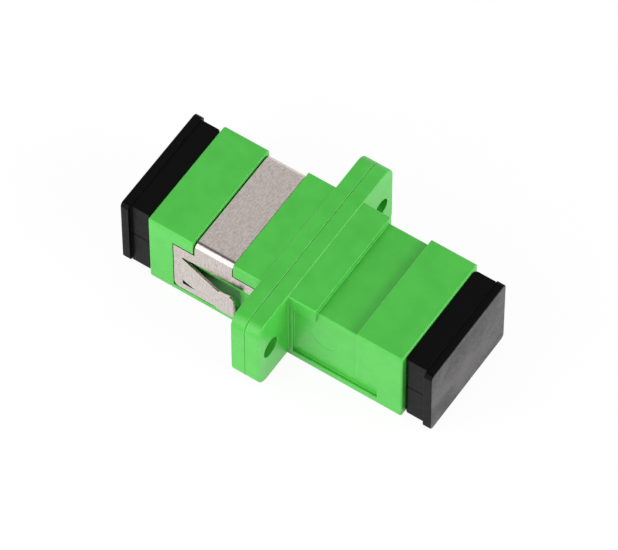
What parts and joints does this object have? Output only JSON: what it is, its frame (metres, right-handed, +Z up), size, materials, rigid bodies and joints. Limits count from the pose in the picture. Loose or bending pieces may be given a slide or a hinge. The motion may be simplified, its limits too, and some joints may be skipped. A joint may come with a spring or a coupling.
{
  "type": "sc fibre adapter",
  "caption": "Fibre adapter with a green two-part flanged housing, a sheet-steel spring clip, inner latches, a slotted ceramic sleeve and two black pull-off dust caps.",
  "frame": {"origin": "on the light path, at the seam where the two housing halves meet", "axes": "+X along the light path towards the plain side, Y across between the screw holes, +Z up out of the side that carries the clip's strip"},
  "size_m": [0.0338, 0.022, 0.0094],
  "materials": {
    "housing_green": "moulded plastic, satin",
    "latch_green": "moulded plastic, satin",
    "sleeve_white": "ground zirconia",
    "clip_steel": "rolled stainless sheet",
    "cap_black": "moulded soft plastic, satin"
  },
  "bodies": {
    "adapter": {"clip_side_housing": "housing_green", "plain_side_housing": "housing_green", "clip_side_latch": "latch_green", "plain_side_latch": "latch_green", "alignment_sleeve": "sleeve_white", "spring_clip": "clip_steel"},
    "clip_side_cap": {"clip_side_dust_cap": "cap_black"},
    "plain_side_cap": {"plain_side_dust_cap": "cap_black"}
  },
  "joints": [
    {"name": "clip_side_cap_pull", "type": "slide", "parent": "adapter", "child": "clip_side_cap", "axis": [-1, 0, 0], "range_m": [0, 0.012]},
    {"name": "plain_side_cap_pull", "type": "slide", "parent": "adapter", "child": "plain_side_cap", "axis": [1, 0, 0], "range_m": [0, 0.012]}
  ]
}
